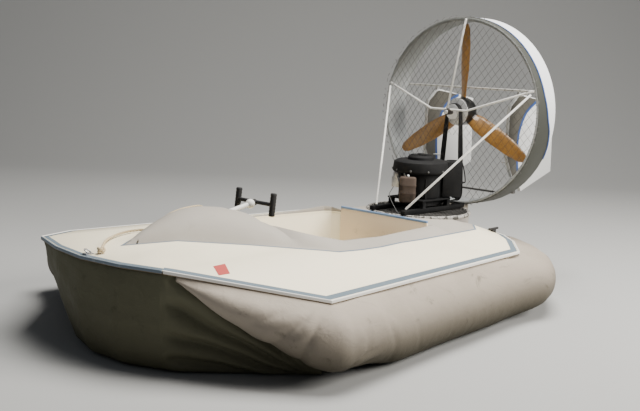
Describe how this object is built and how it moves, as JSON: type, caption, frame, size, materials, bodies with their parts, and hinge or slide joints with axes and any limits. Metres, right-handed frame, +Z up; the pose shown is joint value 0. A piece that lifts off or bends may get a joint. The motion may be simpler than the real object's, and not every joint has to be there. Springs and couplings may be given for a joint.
{
  "type": "small open hovercraft",
  "caption": "Light hovercraft with a bag skirt, open cockpit, belt-driven ducted thrust propeller, lift fan and steered rudders.",
  "frame": {"origin": "on the ground, under the middle of the craft's outline", "axes": "+X towards the bow, +Y to port, +Z up"},
  "size_m": [3.2941, 2.1934, 1.59],
  "materials": {
    "deck_white": "white painted skin over foam",
    "cowl_grey": "light grey paint",
    "inside_cream": "cream paint",
    "trim_blue": "blue paint",
    "edge_white": "white edge strip",
    "skirt_fabric": "silver-grey coated fabric",
    "tube_white": "white painted tube",
    "engine_black": "black paint",
    "engine_alloy": "cast alloy",
    "muffler_rust": "rusty brown",
    "belt_rubber": "black rubber",
    "prop_wood": "varnished wood",
    "ring_white": "white and light grey paint",
    "rudder_white": "white paint with a blue line",
    "seat_vinyl": "dark grey vinyl",
    "runner_wood": "worn timber",
    "rope_tan": "tan laid rope",
    "fitting_alloy": "cast alloy",
    "grip_black": "black"
  },
  "bodies": {
    "craft": {"hull": "inside_cream", "deck": "deck_white", "cowl": "cowl_grey", "bow_strip": "trim_blue", "rail_port": "edge_white", "rail_starboard": "edge_white", "skirt_port": "skirt_fabric", "skirt_starboard": "skirt_fabric", "skirt_bow": "skirt_fabric", "runner_port": "runner_wood", "runner_starboard": "runner_wood", "rear_bulkhead": "inside_cream", "aft_trim": "trim_blue", "dash_panel": "grip_black", "seat_cushion": "seat_vinyl", "seat_back": "seat_vinyl", "column_bracket": "fitting_alloy", "lift_ring": "cowl_grey", "engine_mount": "engine_black", "crankcase": "engine_black", "cylinder_port": "engine_black", "cylinder_starboard": "engine_black", "blower_housing": "engine_black", "muffler": "muffler_rust", "carburettor": "engine_alloy", "drive_belt": "belt_rubber", "idlers": "engine_alloy", "thrust_ring": "ring_white", "ring_pedestal": "cowl_grey", "guard_bar": "tube_white", "top_strut": "tube_white", "stay_port": "tube_white", "stay_starboard": "tube_white", "rudder_bar_upper": "tube_white", "rudder_bar_lower": "engine_black", "bow_eye": "engine_black", "painter_knot": "rope_tan", "painter": "rope_tan", "painter_cleat": "fitting_alloy", "stern_cleat": "fitting_alloy"},
    "lift_drive": {"crankshaft": "engine_alloy", "lift_fan": "engine_alloy"},
    "thrust_drive": {"prop_shaft": "engine_alloy", "propeller": "prop_wood"},
    "steering": {"steering_column": "tube_white", "yoke": "grip_black"},
    "port_rudder": {"rudder_port": "rudder_white"},
    "starboard_rudder": {"rudder_starboard": "rudder_white"}
  },
  "joints": [
    {"name": "lift_spin", "type": "hinge", "parent": "craft", "child": "lift_drive", "pos_m": [-0.69905, 0, 0.3], "axis": [0, 0, 1], "continuous": true},
    {"name": "prop_spin", "type": "hinge", "parent": "craft", "child": "thrust_drive", "pos_m": [-1.09905, 0, 1.02], "axis": [1, 0, 0], "continuous": true},
    {"name": "rudder_port_turn", "type": "hinge", "parent": "craft", "child": "port_rudder", "pos_m": [-1.22905, 0.306, 0.9], "axis": [0, 0, 1], "range_deg": [-30, 30]},
    {"name": "rudder_starboard_turn", "type": "hinge", "parent": "craft", "child": "starboard_rudder", "pos_m": [-1.22905, -0.306, 0.9], "axis": [0, 0, 1], "range_deg": [-30, 30]},
    {"name": "yoke_turn", "type": "hinge", "parent": "craft", "child": "steering", "pos_m": [0.66495, 0, 0.589], "axis": [0.9814, 0, -0.1919], "range_deg": [-60, 60]}
  ],
  "couplings": [
    {"joint": "prop_spin", "follows": "lift_spin", "ratio": 0.6163},
    {"joint": "rudder_starboard_turn", "follows": "rudder_port_turn", "ratio": 1},
    {"joint": "yoke_turn", "follows": "rudder_port_turn", "ratio": 2}
  ]
}
